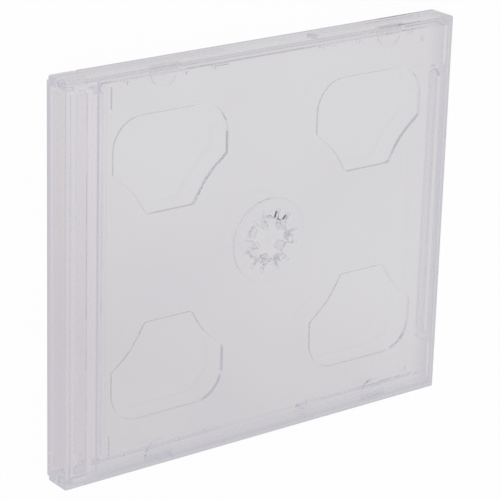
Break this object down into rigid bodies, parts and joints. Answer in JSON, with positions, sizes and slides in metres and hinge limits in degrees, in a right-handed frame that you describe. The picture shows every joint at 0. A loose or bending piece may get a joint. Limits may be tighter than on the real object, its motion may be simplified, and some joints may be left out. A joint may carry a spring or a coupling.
{
  "type": "cd jewel case",
  "caption": "Clear slim disc case with a hinged lid, a base with a spine wall, and a flip tray whose sprung hub holds a disc on either face.",
  "frame": {"origin": "under the middle of the closed case, on the plane of its back sheet", "axes": "+X from the hinge spine to the opening edge, +Y up the case as pictured, +Z out of the front"},
  "size_m": [0.142, 0.124, 0.01],
  "materials": {
    "clear_case_plastic": "clear, polished",
    "clear_tray_plastic": "clear, polished"
  },
  "bodies": {
    "base": {"base": "clear_case_plastic", "tray_hinge_bar": "clear_tray_plastic"},
    "lid": {"lid": "clear_case_plastic"},
    "flip_tray": {"flip_tray": "clear_tray_plastic"}
  },
  "joints": [
    {"name": "lid_hinge", "type": "hinge", "parent": "base", "child": "lid", "pos_m": [-0.068, 0, 0.005], "axis": [0, -1, 0], "range_deg": [0, 180]},
    {"name": "flip_tray_hinge", "type": "hinge", "parent": "base", "child": "flip_tray", "pos_m": [-0.059, 0, 0.005], "axis": [0, -1, 0], "range_deg": [0, 110]}
  ],
  "couplings": [
    {"joint": "flip_tray_hinge", "follows": "lid_hinge", "ratio": 0.611}
  ]
}
